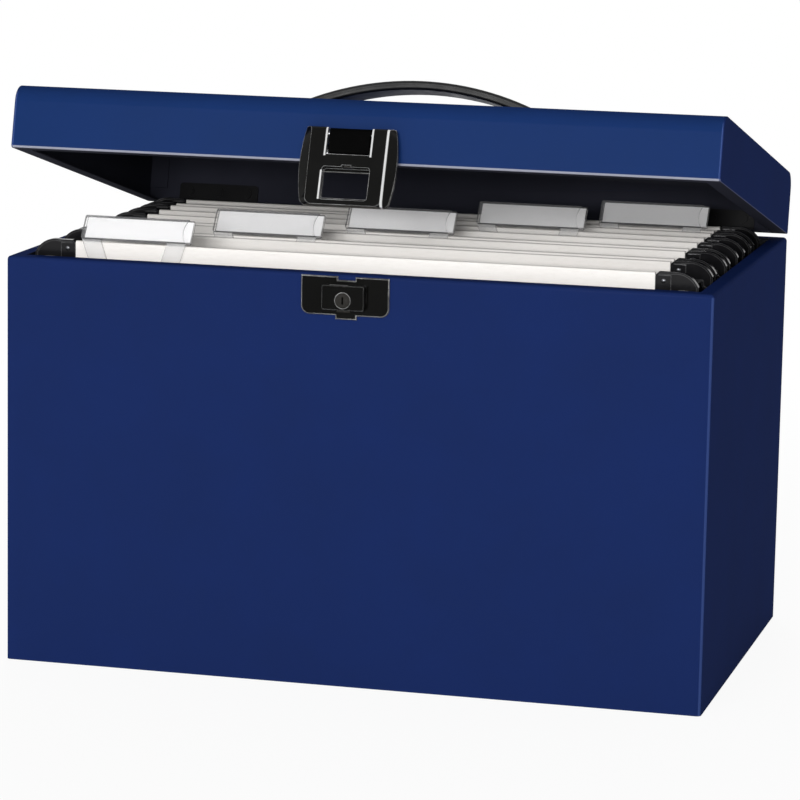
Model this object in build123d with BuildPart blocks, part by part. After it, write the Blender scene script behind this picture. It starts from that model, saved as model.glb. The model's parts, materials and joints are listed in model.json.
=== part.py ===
"""Portable steel file box for A4 suspension files, lid ajar, in millimetres.

Frame: origin at the middle of the underside, +X to the right, the latch side faces -Y, +Z up.
The lid pieces are drawn shut and then swung about the hinge axis to the resting open angle.
"""
from build123d import *
import math
import os

os.makedirs("parts", exist_ok=True)

# ---- Driving dimensions of the box -------------------------------------------------------
BOX_W = 365.0            # outside width, X
BOX_D = 228.0            # outside depth, Y
BODY_H = 211.0           # height of the body's rim
LID_H = 33.0             # height of the lid
LID_GAP = 0.8            # gap between the two rims when shut
SHEET = 0.8              # steel sheet
RIM_W = 8.0              # width of the in-turned rims
CORNER_R = 2.2           # upright corner bends of the body
RIM_BEND = 2.0           # soft bend along the body's rim
LID_BEND = 9.0           # large bends along the lid's front and rear
HEM_BEND = 1.5           # bend between the lid's walls and its rim
FLANGE = 10.0            # hidden weld flanges
BASE_BEND = 0.75         # inner bend of the base panel's corners
OPEN_ANGLE = 13.5        # lid angle at rest, from shut
WELD_GAP = 0.05          # air left between nested sheets

# ---- Derived places ------------------------------------------------------------------------
FRONT_Y = -BOX_D / 2
REAR_Y = BOX_D / 2
LID_Z0 = BODY_H + LID_GAP
LID_TOP = LID_Z0 + LID_H

# ---- Hinges: X values are distances from the box's middle ----------------------------------
HINGE_Y = REAR_Y + 3.2
HINGE_Z = BODY_H + LID_GAP / 2
LEAF_X = 137.4
LEAF_W = 55.0
LEAF_H = 10.0
LEAF_T = 1.0
LEAF_R = 2.0             # corners of the leaves
LEAF_CLEAR = 2.9         # from the axis to a leaf's near edge
KNUCKLE_R = 3.0
KNUCKLE_W = 6.4
KNUCKLE_TAB = 4.0        # height of the strip that joins a knuckle to its leaf
KNUCKLE_PITCH = 6.7
KNUCKLE_GROUPS = (116.9, 145.5)
HINGE_PIN_R = 1.3
RUN_FIT = 0.06           # radial clearance of a turning pin
HINGE_RIVETS = (124.2, 140.8, 157.9)
LEAF_RIVET_DROP = 7.1    # from the axis to the rivets
BACKING_X = 141.0        # plate behind the lid's rivets, inside the lid
BACKING_W = 46.0
BACKING_T = 0.8
BACKING_LOW = LID_Z0 + 1.6
BACKING_TOP = LID_Z0 + 11.6

# ---- Rivets --------------------------------------------------------------------------------
SHANK_R = 1.5
SHANK_HOLE_R = 1.55
HEAD_R = 2.9
HEAD_H = 1.2
HEAD_ARC = (2.03, 0.86)  # a point on the dome, radius and height
TAIL_R = 2.4
TAIL_H = 0.8

# ---- Hanging rails and files -----------------------------------------------------------------
RAIL_X = 164.8
RAIL_T = 1.2
RAIL_TOP = BODY_H - 2.1
RAIL_H = 13.5
RAIL_TAB = 15.0
FILES = (                # front bar y, rear bar y, middle of the tab x
    (-98.0, -58.0, -117.7),
    (-48.0, -18.0, -63.3),
    (-8.0, 17.0, -3.0),
    (37.0, 57.0, 57.0),
    (67.0, 85.0, 117.3),
)
PAPER_W = 300.6
PAPER_T = 0.5
PAPER_TOP = BODY_H + 7.5
HEM_H = 11.0
HEM_T = 2.8
HEM_R = 0.9              # soft folds at the hem's edges
FOLD_Z = 12.0            # bottom fold of the folders
BAR_HALF = 157.0
BAR_T = 1.6
BAR_H = 8.0
BAR_Z = BODY_H + 1.7
BAR_AIR = 0.1            # board to bar, across both faces

# ---- Moulded hook ends of the bars --------------------------------------------------------------
HOOK_IN = 150.5          # inner end of a hook plate
HOOK_OUT = 172.0         # outer face of a hook tip
HOOK_TOP = BODY_H + 7.9
HOOK_T = 3.0             # over the raised rim
HOOK_WEB = 1.8           # between the rims
HOOK_RIM = 1.0           # width of the raised rim
HOOK_LOW = BODY_H - 5.0
HOOK_BEVEL = 1.6         # upper inner corner
HOOK_FLAT = 8.0          # level run before the arch
HOOK_ARCH = (4.2, 1.9)   # a point on the arch, in from the tip and down from the top
HOOK_SHOULDER = 6.9      # where the arch meets the tip, down from the top
TIP_W = 5.6
TIP_Z = BODY_H - 5.6
NOTCH_IN = 162.6
NOTCH_TOP = RAIL_TOP + 0.1
BOSS_OVER = 1.2          # how far the thick boss runs past the bar

# ---- Tabs and their inserts --------------------------------------------------------------------
TAB_W = 58.6
TAB_L = 13.4
TAB_T = 2.2
TAB_R = 1.0              # corners of the sleeve
TAB_LEAN = 36.0          # from upright, backwards
TAB_Z = BODY_H + 8.9
TAB_FRONT = 2.4          # how far the tab's foot stands before its bar
TAB_WALL = 0.6
TAB_SLOT = 0.9
TAB_NOTCH = 5.1          # depth of the thumb notch in the front wall
TAB_NOTCH_R = 11.7
INSERT_T = 0.5
LEG_W = 10.0
LEG_T = 0.7
LEG_RISE = 0.2           # overlap of the legs with the sleeve
LEG_DROP = 20.0
LEG_SLANT = 6.8
LEG_INSET = {-1: 0.2, 1: 2.7}   # outer edge of the left and right leg, in from the sleeve's end

# ---- Hasp: the flap, its bracket and its pin -------------------------------------------------------
LATCH_X = -3.1
HASP_TILT = 8.0          # how far the hasp hangs off its latched position
PIVOT_Z = LID_Z0 + 14.0
PIVOT_Y = FRONT_Y - 3.6
PIVOT_PIN_R = 1.0
PIVOT_PIN_HALF = 20.0
HASP_BACK = 1.5          # hasp's back, before the lid's face
HASP_T = 5.0
HASP_TOP = LID_Z0 + 17.2
HASP_MID = LID_Z0 - 2.0
HASP_LOW = LID_Z0 - 22.8
HASP_EDGE = (22.9, 25.0, 22.3)      # half widths of the outer edge: top, middle, low
HASP_PLATEAU = (19.9, 19.7, 19.4)   # half widths of the raised face
HASP_EDGE_R = 1.9
HASP_CORNER_R = 3.5
WING_DROP = 3.0
WINDOW_HALF = 12.2
WINDOW_R = 1.4
WINDOW_TOP = LID_Z0 - 3.4
WINDOW_LOW = BODY_H - 19.4
WINDOW_DIP = (4.8, 0.9)  # width and depth of the shallow dip in the window's upper edge
LEDGE_T = 1.0
LEDGE_LOW = BODY_H - 17.8
LEDGE_TOP = BODY_H - 4.4
HASP_NOTCH_HALF = 11.4
HASP_NOTCH_LOW = LID_Z0 + 3.0
POCKET_HALF = 18.5       # recess in the hasp's back, over the bracket
POCKET_H = 9.4
POCKET_DEPTH = 3.0
BRACKET_W = 33.0
BRACKET_H = 7.6
BRACKET_R = 1.2
BRACKET_Z = LID_Z0 + 5.0
BRACKET_T = 1.2
BRACKET_RIVET_X = 13.4
TONGUE_HALF = 10.4
TONGUE_R = 2.9
TONGUE_LOW = LID_Z0 + 4.4

# ---- Keeper, lock block, lock and catch, on the body ------------------------------------------------
KEEPER_HALF = 22.8
KEEPER_TOP = BODY_H - 0.9
KEEPER_LOW = BODY_H - 20.6
KEEPER_T = 1.2
KEEPER_R = 4.5           # lower corners
KEEPER_BEVEL = 0.4
KEEPER_NOTCH = (0.8, 9.0, 1.8)   # upper notch: middle, width, depth
KEEPER_LIP = (0.6, 11.0, 2.0)    # lower lip: middle, width, drop
STUD_X = 18.0            # studs on the keeper's back, from the latch's middle
STUD_Z = BODY_H - 8.0
STUD_OUT = 2.4           # how far a stud stands past the body's face, inwards
CLIP_R = 3.6
CLIP_T = 0.6
BLOCK_HALF = 11.0
BLOCK_TOP = BODY_H - 4.8
BLOCK_LOW = BODY_H - 17.4
BLOCK_T = 4.4
BLOCK_R = 1.2
BLOCK_EDGE_R = 0.5
BLOCK_WALL = 1.0
BLOCK_FACE = 0.7
SLOT_AIR = 0.15          # air on each side of a sliding or turning plate
LOCK_Z = BODY_H - 12.4
PLUG_R = 3.85
PLUG_SHAFT_R = 2.4
PLUG_PROUD = 0.3         # how far the plug stands before the block
PLUG_EDGE = 0.3
PLUG_TAIL = 6.0          # how far the spindle reaches behind the body's face
KEYWAY = (0.9, 3.8, 4.0)         # width, height, depth
CLIP_GROOVE = (0.5, 3.2, 1.0)    # depth of the groove, its front behind the face, its width
LOCK_CLIP_R = 4.8
LOCK_CLIP_T = 0.8
LOCK_CLIP_GAP = 2.4
CAM_HUB_R = 3.4
CAM_ARM = 8.7
CAM_HALF_W = 1.5
CAM_T = 0.8
CAM_DEPTH = 3.9          # cam's back, before the body's face
CAM_SLOT = (-2.4, 9.2)   # the block's upper slot: middle and width
CATCH_DEPTH = 2.7
CATCH_T = 0.9
CATCH_TRAVEL = 1.2
CATCH_W = 15.0
CATCH_DOWN = 2.0         # catch plate below the block's roof
CATCH_FLOOR = 0.2        # catch plate over the block's floor
NOSE_W = 7.0
NOSE_AIR = 0.3           # nose in its slot, each side
NOSE_LOW = BODY_H - 18.5
SPRING_HALF = 6.5
SPRING_FOOT = 0.9
SPRING_T = 0.3
SPRING_AIR = 0.05

# ---- Handle --------------------------------------------------------------------------------------
HANDLE_X = 2.9
GRIP_RISE = 24.7         # top of the arch above the lid
GRIP_T = 4.8
GRIP_W = 21.0
GRIP_HALF = 62.0         # where the arch meets the feet
GRIP_SHOULDER = 12.1     # top of the arch there
GRIP_NARROW = 0.36       # how far the lower arc draws in, for each millimetre down
GRIP_EDGE_R = 1.5
FOOT_IN = 69.0
FOOT_STEP = 74.0         # where the arch lands on the foot
FOOT_OUT = 90.0
FOOT_H = 4.2
SHOULDER_R = 9.0
STEP_R = 3.5
SEAM_DROP = 2.1          # side seam, below the arch's upper face
SEAM_H = 0.7
SEAM_DEPTH = 0.5
HANDLE_SCREW_X = 81.0
SCREW_PLACES = ((HANDLE_X - HANDLE_SCREW_X, 0), (HANDLE_X + HANDLE_SCREW_X, 0))
SCREW_R = 2.0
SCREW_HOLE_R = 2.1
SCREW_HEAD_R = 3.8
SCREW_HEAD_H = 2.0
SCREW_DOME_R = 1.2
SCREW_END = 0.4          # thread left past the nut
CROSS = (4.4, 0.9, 1.2)  # cross recess: length, width, floor above the foot
WASHER_R = 6.0
WASHER_T = 1.0
NUT_R = 4.0
NUT_T = 2.4

HINGE_AXIS = Axis((0, HINGE_Y, HINGE_Z), (1, 0, 0))
HASP_AXIS = Axis((0, PIVOT_Y, PIVOT_Z), (1, 0, 0))
ABOVE = 30.0             # long enough to cut clear through anything here


def save(piece, name):
    """Label a finished piece and write it out."""
    piece.label = name
    export_step(piece, f"parts/{name}.step")


def save_on_lid(piece, name):
    """Swing a piece that was drawn shut to the lid's resting angle, and write it out."""
    save(piece.rotate(HINGE_AXIS, -OPEN_ANGLE), name)


def face_plane(y):
    """An upright plane across the box at y, facing the front."""
    return Plane.XZ.offset(-y)


# ---- Fasteners -------------------------------------------------------------------------------------
def rivet(grip):
    """One domed rivet along Z, its head on the outer face at z = 0."""
    with BuildPart() as one:
        with BuildSketch(Plane.XZ):
            with BuildLine():
                Line((0, -grip - TAIL_H), (0, HEAD_H))
                ThreePointArc((0, HEAD_H), HEAD_ARC, (HEAD_R, 0))
                Line((HEAD_R, 0), (SHANK_R, 0))
                Line((SHANK_R, 0), (SHANK_R, -grip))
                Line((SHANK_R, -grip), (TAIL_R, -grip))
                Line((TAIL_R, -grip), (TAIL_R, -grip - TAIL_H))
                Line((TAIL_R, -grip - TAIL_H), (0, -grip - TAIL_H))
            make_face()
        revolve(axis=Axis.Z)
    return one.part


def rivet_group(points, y, grip, turn):
    """Rivets at (x, z) points of an upright wall; turn is -90 for the rear, 90 for the front."""
    single = rivet(grip)
    with BuildPart() as group:
        for x, z in points:
            with Locations(Location((x, y, z), (turn, 0, 0))):
                add(single)
    return group.part


def bore_wall(points, y, radius):
    """Cut round holes through an upright wall at (x, z) points."""
    for x, z in points:
        with Locations(Location((x, y, z), (90, 0, 0))):
            Cylinder(radius, RIM_W, mode=Mode.SUBTRACT)


RIVET_X = [side * x for side in (-1, 1) for x in HINGE_RIVETS]
BODY_HINGE_POINTS = [(x, HINGE_Z - LEAF_RIVET_DROP) for x in RIVET_X]
LID_HINGE_POINTS = [(x, HINGE_Z + LEAF_RIVET_DROP) for x in RIVET_X]
STUD_POINTS = [(LATCH_X + side * STUD_X, STUD_Z) for side in (-1, 1)]
BRACKET_POINTS = [(LATCH_X + side * BRACKET_RIVET_X, BRACKET_Z) for side in (-1, 1)]


# ---- Body ------------------------------------------------------------------------------------------
with BuildPart() as body_shell:
    with BuildSketch():
        RectangleRounded(BOX_W, BOX_D, CORNER_R)
    extrude(amount=BODY_H)
    fillet(body_shell.faces().sort_by(Axis.Z)[-1].edges(), RIM_BEND)
    with BuildPart(mode=Mode.PRIVATE) as hollow:
        with BuildSketch():
            RectangleRounded(BOX_W - 2 * SHEET, BOX_D - 2 * SHEET, CORNER_R - SHEET)
        extrude(amount=BODY_H - SHEET)
        fillet(hollow.faces().sort_by(Axis.Z)[-1].edges(), RIM_BEND - SHEET)
    add(hollow.part, mode=Mode.SUBTRACT)
    with BuildSketch(Plane.XY.offset(BODY_H - RIM_W)):
        Rectangle(BOX_W - 2 * RIM_W, BOX_D - 2 * RIM_W)
    extrude(amount=ABOVE, mode=Mode.SUBTRACT)
    bore_wall(BODY_HINGE_POINTS, REAR_Y, SHANK_HOLE_R)
    bore_wall(STUD_POINTS, FRONT_Y, SHANK_HOLE_R)
    bore_wall([(LATCH_X, LOCK_Z)], FRONT_Y, PLUG_SHAFT_R + RUN_FIT)
save(body_shell.part, "body_shell")

with BuildPart() as base_panel:
    base_w = BOX_W - 2 * SHEET - 2 * WELD_GAP
    base_d = BOX_D - 2 * SHEET - 2 * WELD_GAP
    with BuildSketch():
        RectangleRounded(base_w, base_d, CORNER_R - SHEET)
    extrude(amount=FLANGE)
    with BuildSketch(Plane.XY.offset(SHEET)):
        RectangleRounded(base_w - 2 * SHEET, base_d - 2 * SHEET, BASE_BEND)
    extrude(amount=ABOVE, mode=Mode.SUBTRACT)
save(base_panel.part, "base_panel")


def hanging_rail(side):
    """A steel strip on edge from front wall to rear wall, with a weld tab bent outwards at each end."""
    half_run = BOX_D / 2 - SHEET - WELD_GAP
    with BuildPart() as rail:
        with BuildSketch(Plane.XY.offset(RAIL_TOP - RAIL_H)):
            with Locations((side * RAIL_X, 0)):
                Rectangle(RAIL_T, 2 * half_run)
            for end in (-1, 1):
                tab_x = side * (RAIL_X - RAIL_T / 2 + RAIL_TAB / 2)
                with Locations((tab_x, end * (half_run - RAIL_T / 2))):
                    Rectangle(RAIL_TAB, RAIL_T)
        extrude(amount=RAIL_H)
    return rail.part


save(hanging_rail(-1), "hanging_rail_left")
save(hanging_rail(1), "hanging_rail_right")


# ---- Lid -------------------------------------------------------------------------------------------
def lid_outline():
    """The lid's cross-section as a filled outline, for use inside a sketch on the YZ plane."""
    with BuildSketch(mode=Mode.PRIVATE) as outline:
        with Locations((0, LID_Z0 + LID_H / 2)):
            Rectangle(BOX_D, LID_H)
        fillet(outline.vertices().group_by(Axis.Y)[-1], LID_BEND)
        fillet(outline.vertices().group_by(Axis.Y)[0], HEM_BEND)
    return outline.sketch


with BuildPart() as lid_wrap:
    with BuildSketch(Plane.YZ):
        add(lid_outline())
        offset(amount=-SHEET, mode=Mode.SUBTRACT)
        with Locations((0, LID_Z0)):
            Rectangle(BOX_D - 2 * RIM_W, RIM_W, mode=Mode.SUBTRACT)
    extrude(amount=BOX_W / 2 - SHEET, both=True)
    bore_wall(LID_HINGE_POINTS, REAR_Y, SHANK_HOLE_R)
    bore_wall(BRACKET_POINTS, FRONT_Y, SHANK_HOLE_R)
    with Locations(*[(x, y, LID_TOP) for x, y in SCREW_PLACES]):
        Cylinder(SCREW_HOLE_R, RIM_W, mode=Mode.SUBTRACT)
save_on_lid(lid_wrap.part, "lid_wrap")


def lid_end(side):
    """A flat end plate with the lid's outline, weld flanges inside the wrap and a rim turned inwards."""
    outer = Plane.YZ.offset(side * BOX_W / 2)
    with BuildPart() as end:
        with BuildSketch(outer):
            add(lid_outline())
        extrude(amount=-side * SHEET)
        with BuildSketch(outer):
            add(lid_outline())
            offset(amount=-SHEET - WELD_GAP)
            offset(amount=-SHEET, mode=Mode.SUBTRACT)
            with Locations((0, LID_Z0)):
                Rectangle(BOX_D, 2 * RIM_W, mode=Mode.SUBTRACT)
        extrude(amount=-side * (SHEET + FLANGE))
        with BuildSketch(outer):
            with Locations((0, LID_Z0 + SHEET / 2)):
                Rectangle(BOX_D - 2 * RIM_W - 2 * WELD_GAP, SHEET)
        extrude(amount=-side * RIM_W)
        low_edges = end.edges().filter_by(Axis.Y).group_by(Axis.Z)[0]
        fillet(low_edges.sort_by(Axis.X)[-1 if side > 0 else 0], SHEET / 2)
    return end.part


save_on_lid(lid_end(-1), "lid_end_left")
save_on_lid(lid_end(1), "lid_end_right")


# ---- Hinges ------------------------------------------------------------------------------------------
def hinge_leaf(side, up):
    """One riveted leaf: up is 1 for the lid's leaf, -1 for the body's. It has a knuckle in each group."""
    plate_z = HINGE_Z + up * (LEAF_CLEAR + LEAF_H / 2)
    with BuildPart() as leaf:
        with BuildSketch(face_plane(REAR_Y + LEAF_T)):
            with Locations((side * LEAF_X, plate_z)):
                RectangleRounded(LEAF_W, LEAF_H, LEAF_R)
        extrude(amount=LEAF_T)
        for group in KNUCKLE_GROUPS:
            own = side * group + up * KNUCKLE_PITCH / 2
            with Locations((own, REAR_Y + LEAF_T / 2, HINGE_Z + up * KNUCKLE_TAB / 2)):
                Box(KNUCKLE_W, LEAF_T, KNUCKLE_TAB)
            with Locations(Location((own, HINGE_Y, HINGE_Z), (0, 90, 0))):
                Cylinder(KNUCKLE_R, KNUCKLE_W)
                Cylinder(HINGE_PIN_R + (RUN_FIT if up > 0 else 0), LEAF_H, mode=Mode.SUBTRACT)
        for distance in HINGE_RIVETS:
            rivet_place = (side * distance, REAR_Y, HINGE_Z + up * LEAF_RIVET_DROP)
            with Locations(Location(rivet_place, (90, 0, 0))):
                Cylinder(SHANK_HOLE_R, RIM_W, mode=Mode.SUBTRACT)
    return leaf.part


def hinge_pins(side):
    """Two short pins, one through each group of knuckles."""
    with BuildPart() as pins:
        for group in KNUCKLE_GROUPS:
            with Locations(Location((side * group, HINGE_Y, HINGE_Z), (0, 90, 0))):
                Cylinder(HINGE_PIN_R, 2 * KNUCKLE_PITCH)
    return pins.part


def hinge_backing(side):
    """The plate behind the lid's rear wall that the hinge rivets are set against."""
    with BuildPart() as plate:
        with BuildSketch(face_plane(REAR_Y - SHEET)) as plate_outline:
            with Locations((side * BACKING_X, (BACKING_LOW + BACKING_TOP) / 2)):
                Rectangle(BACKING_W, BACKING_TOP - BACKING_LOW)
            fillet(plate_outline.vertices().group_by(Axis.Y)[-1], LEAF_R)
        extrude(amount=BACKING_T)
        bore_wall([(side * x, HINGE_Z + LEAF_RIVET_DROP) for x in HINGE_RIVETS], REAR_Y, SHANK_HOLE_R)
    return plate.part


for side, word in ((-1, "left"), (1, "right")):
    save(hinge_leaf(side, -1), f"hinge_leaf_body_{word}")
    save_on_lid(hinge_leaf(side, 1), f"hinge_leaf_lid_{word}")
    save_on_lid(hinge_backing(side), f"hinge_backing_{word}")
    save(hinge_pins(side), f"hinge_pins_{word}")
body_grip = LEAF_T + SHEET
save(rivet_group(BODY_HINGE_POINTS, REAR_Y + LEAF_T, body_grip, -90), "hinge_rivets_body")
lid_grip = LEAF_T + SHEET + BACKING_T
save_on_lid(rivet_group(LID_HINGE_POINTS, REAR_Y + LEAF_T, lid_grip, -90), "hinge_rivets_lid")


# ---- Hasp, on the lid --------------------------------------------------------------------------------
def latch_sketch(depth):
    """The plane that lies depth before the front face, with its origin on the latch's middle line."""
    return Plane(origin=(LATCH_X, FRONT_Y - depth, 0), x_dir=(1, 0, 0), z_dir=(0, -1, 0))


with BuildPart() as hasp_bracket:
    with BuildSketch(latch_sketch(0)):
        with Locations((0, BRACKET_Z)):
            RectangleRounded(BRACKET_W, BRACKET_H, BRACKET_R)
    extrude(amount=BRACKET_T)
    with BuildSketch(Plane.YZ.offset(LATCH_X)):
        with Locations((PIVOT_Y, PIVOT_Z)):
            Circle(TONGUE_R)
        with Locations(((FRONT_Y + PIVOT_Y - TONGUE_R) / 2, (PIVOT_Z + TONGUE_LOW) / 2)):
            Rectangle(FRONT_Y - PIVOT_Y + TONGUE_R, PIVOT_Z - TONGUE_LOW)
    extrude(amount=TONGUE_HALF, both=True)
    with Locations(Location((LATCH_X, PIVOT_Y, PIVOT_Z), (0, 90, 0))):
        Cylinder(PIVOT_PIN_R, 4 * TONGUE_HALF, mode=Mode.SUBTRACT)
    bore_wall(BRACKET_POINTS, FRONT_Y, SHANK_HOLE_R)
save_on_lid(hasp_bracket.part, "hasp_bracket")
bracket_grip = BRACKET_T + SHEET
save_on_lid(rivet_group(BRACKET_POINTS, FRONT_Y - BRACKET_T, bracket_grip, 90), "hasp_rivets")

with BuildPart() as hasp_pin:
    with Locations(Location((LATCH_X, PIVOT_Y, PIVOT_Z), (0, 90, 0))):
        Cylinder(PIVOT_PIN_R, 2 * PIVOT_PIN_HALF)
save_on_lid(hasp_pin.part, "hasp_pin")


def hasp_outline(half_widths):
    """The hasp's outline from its half widths at top, middle and low, for use inside a sketch."""
    top, mid, low = half_widths
    with BuildSketch(mode=Mode.PRIVATE) as outline:
        with BuildLine():
            Line((-top, HASP_TOP), (top, HASP_TOP))
            ThreePointArc((top, HASP_TOP), (mid, HASP_MID), (low, HASP_LOW))
            Line((low, HASP_LOW), (-low, HASP_LOW))
            ThreePointArc((-low, HASP_LOW), (-mid, HASP_MID), (-top, HASP_TOP))
        make_face()
        fillet(outline.vertices().group_by(Axis.Y)[0], HASP_CORNER_R)
    return outline.sketch


with BuildPart() as hasp_flap:
    with BuildSketch(latch_sketch(HASP_BACK)):
        add(hasp_outline(HASP_EDGE))
    extrude(amount=HASP_T - WING_DROP)
    with BuildSketch(latch_sketch(HASP_BACK + HASP_T - WING_DROP)):
        add(hasp_outline(HASP_EDGE))
    with BuildSketch(latch_sketch(HASP_BACK + HASP_T)):
        add(hasp_outline(HASP_PLATEAU))
    loft()
    top_edges = hasp_flap.edges().filter_by(Axis.X).group_by(Axis.Z)[-1]
    fillet(top_edges, HASP_EDGE_R)
    with BuildSketch(latch_sketch(HASP_BACK)):
        with Locations((0, (WINDOW_TOP + WINDOW_LOW) / 2)):
            RectangleRounded(2 * WINDOW_HALF, WINDOW_TOP - WINDOW_LOW, WINDOW_R)
        with Locations((0, WINDOW_TOP)):
            Rectangle(WINDOW_DIP[0], 2 * WINDOW_DIP[1])
    extrude(amount=ABOVE, mode=Mode.SUBTRACT)
    with BuildSketch(latch_sketch(HASP_BACK)):
        with Locations((0, (LEDGE_LOW + WINDOW_LOW) / 2)):
            Rectangle(2 * WINDOW_HALF, LEDGE_LOW - WINDOW_LOW)
        with Locations((0, (LEDGE_TOP + WINDOW_TOP) / 2)):
            Rectangle(2 * WINDOW_HALF, WINDOW_TOP - LEDGE_TOP)
    extrude(amount=LEDGE_T)
    with BuildSketch(latch_sketch(0)):
        with Locations((0, (HASP_NOTCH_LOW + HASP_TOP) / 2 + HASP_EDGE_R)):
            Rectangle(2 * HASP_NOTCH_HALF, HASP_TOP - HASP_NOTCH_LOW + 2 * HASP_EDGE_R)
    extrude(amount=ABOVE, mode=Mode.SUBTRACT)
    with BuildSketch(latch_sketch(0)):
        with Locations((0, BRACKET_Z)):
            Rectangle(2 * POCKET_HALF, POCKET_H)
    extrude(amount=HASP_BACK + POCKET_DEPTH, mode=Mode.SUBTRACT)
    with Locations(Location((LATCH_X, PIVOT_Y, PIVOT_Z), (0, 90, 0))):
        Cylinder(PIVOT_PIN_R + RUN_FIT, 2 * PIVOT_PIN_HALF + BAR_AIR, mode=Mode.SUBTRACT)
save_on_lid(hasp_flap.part.rotate(HASP_AXIS, -HASP_TILT), "hasp_flap")


# ---- Keeper and lock, on the body ----------------------------------------------------------------------
with BuildPart() as keeper_plate:
    with BuildSketch(latch_sketch(0)) as keeper_outline:
        with Locations((0, (KEEPER_TOP + KEEPER_LOW) / 2)):
            Rectangle(2 * KEEPER_HALF, KEEPER_TOP - KEEPER_LOW)
        fillet(keeper_outline.vertices().group_by(Axis.Y)[0], KEEPER_R)
        with Locations((KEEPER_NOTCH[0], KEEPER_TOP)):
            Rectangle(KEEPER_NOTCH[1], 2 * KEEPER_NOTCH[2], mode=Mode.SUBTRACT)
        with Locations((KEEPER_LIP[0], KEEPER_LOW)):
            Rectangle(KEEPER_LIP[1], 2 * KEEPER_LIP[2])
    extrude(amount=KEEPER_T)
    chamfer(keeper_plate.faces().sort_by(Axis.Y)[0].edges(), KEEPER_BEVEL)
    with BuildSketch(latch_sketch(0)):
        with Locations((-STUD_X, STUD_Z), (STUD_X, STUD_Z)):
            Circle(SHANK_R)
    extrude(amount=-STUD_OUT)
    bore_wall([(LATCH_X, LOCK_Z)], FRONT_Y, PLUG_SHAFT_R + RUN_FIT)
save(keeper_plate.part, "keeper_plate")

with BuildPart() as keeper_clips:
    with BuildSketch(latch_sketch(-SHEET)):
        with Locations((-STUD_X, STUD_Z), (STUD_X, STUD_Z)):
            Circle(CLIP_R)
            Circle(SHANK_R, mode=Mode.SUBTRACT)
    extrude(amount=-CLIP_T)
save(keeper_clips.part, "keeper_clips")

BLOCK_MID = (BLOCK_TOP + BLOCK_LOW) / 2
BLOCK_H = BLOCK_TOP - BLOCK_LOW
SLOT_H = 4 * BLOCK_WALL
with BuildPart() as lock_block:
    with BuildSketch(latch_sketch(KEEPER_T)):
        with Locations((0, BLOCK_MID)):
            RectangleRounded(2 * BLOCK_HALF, BLOCK_H, BLOCK_R)
    extrude(amount=BLOCK_T)
    fillet(lock_block.faces().sort_by(Axis.Y)[0].edges(), BLOCK_EDGE_R)
    with BuildSketch(latch_sketch(KEEPER_T)):
        with Locations((0, BLOCK_MID)):
            Rectangle(2 * BLOCK_HALF - 2 * BLOCK_WALL, BLOCK_H - 2 * BLOCK_WALL)
    extrude(amount=BLOCK_T - BLOCK_FACE, mode=Mode.SUBTRACT)
    with BuildSketch(latch_sketch(CAM_DEPTH - SLOT_AIR)):
        with Locations((CAM_SLOT[0], BLOCK_TOP)):
            Rectangle(CAM_SLOT[1], SLOT_H)
    extrude(amount=CAM_T + 2 * SLOT_AIR, mode=Mode.SUBTRACT)
    with BuildSketch(latch_sketch(CATCH_DEPTH - SLOT_AIR)):
        with Locations((0, BLOCK_LOW)):
            Rectangle(NOSE_W + 2 * NOSE_AIR, SLOT_H)
    extrude(amount=CATCH_T + 2 * SLOT_AIR, mode=Mode.SUBTRACT)
    with Locations(Location((LATCH_X, FRONT_Y - KEEPER_T - BLOCK_T, LOCK_Z), (90, 0, 0))):
        Cylinder(PLUG_R + RUN_FIT, BLOCK_T, mode=Mode.SUBTRACT)
save(lock_block.part, "lock_block")

with BuildPart() as lock_cam:
    with BuildSketch(latch_sketch(CAM_DEPTH)):
        with Locations((0, LOCK_Z)):
            Circle(CAM_HUB_R)
        with Locations((-CAM_ARM / 2, LOCK_Z)):
            Rectangle(CAM_ARM, 2 * CAM_HALF_W)
        with Locations((0, LOCK_Z)):
            Circle(PLUG_SHAFT_R, mode=Mode.SUBTRACT)
    extrude(amount=CAM_T)
save(lock_cam.part, "lock_cam")

PLUG_FACE = KEEPER_T + BLOCK_T + PLUG_PROUD
GROOVE_BACK = CLIP_GROOVE[1] + CLIP_GROOVE[2]
with BuildPart() as lock_plug:
    with BuildSketch(latch_sketch(CAM_DEPTH + CAM_T)):
        with Locations((0, LOCK_Z)):
            Circle(PLUG_R)
    extrude(amount=PLUG_FACE - CAM_DEPTH - CAM_T)
    chamfer(lock_plug.faces().sort_by(Axis.Y)[0].edges(), PLUG_EDGE)
    with BuildSketch(latch_sketch(PLUG_FACE - KEYWAY[2])):
        with Locations((0, LOCK_Z)):
            Rectangle(KEYWAY[0], KEYWAY[1])
    extrude(amount=ABOVE, mode=Mode.SUBTRACT)
save(lock_plug.part, "lock_plug")

with BuildPart() as lock_spindle:
    with BuildSketch(latch_sketch(-PLUG_TAIL)):
        with Locations((0, LOCK_Z)):
            Circle(PLUG_SHAFT_R)
    extrude(amount=CAM_DEPTH + CAM_T + PLUG_TAIL)
    with BuildSketch(latch_sketch(PLUG_FACE - KEYWAY[2])):
        with Locations((0, LOCK_Z)):
            Rectangle(KEYWAY[0], KEYWAY[1])
    extrude(amount=ABOVE, mode=Mode.SUBTRACT)
    with BuildSketch(latch_sketch(-GROOVE_BACK)):
        with Locations((0, LOCK_Z)):
            Circle(PLUG_SHAFT_R)
            Circle(PLUG_SHAFT_R - CLIP_GROOVE[0], mode=Mode.SUBTRACT)
    extrude(amount=CLIP_GROOVE[2], mode=Mode.SUBTRACT)
save(lock_spindle.part, "lock_spindle")

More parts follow.
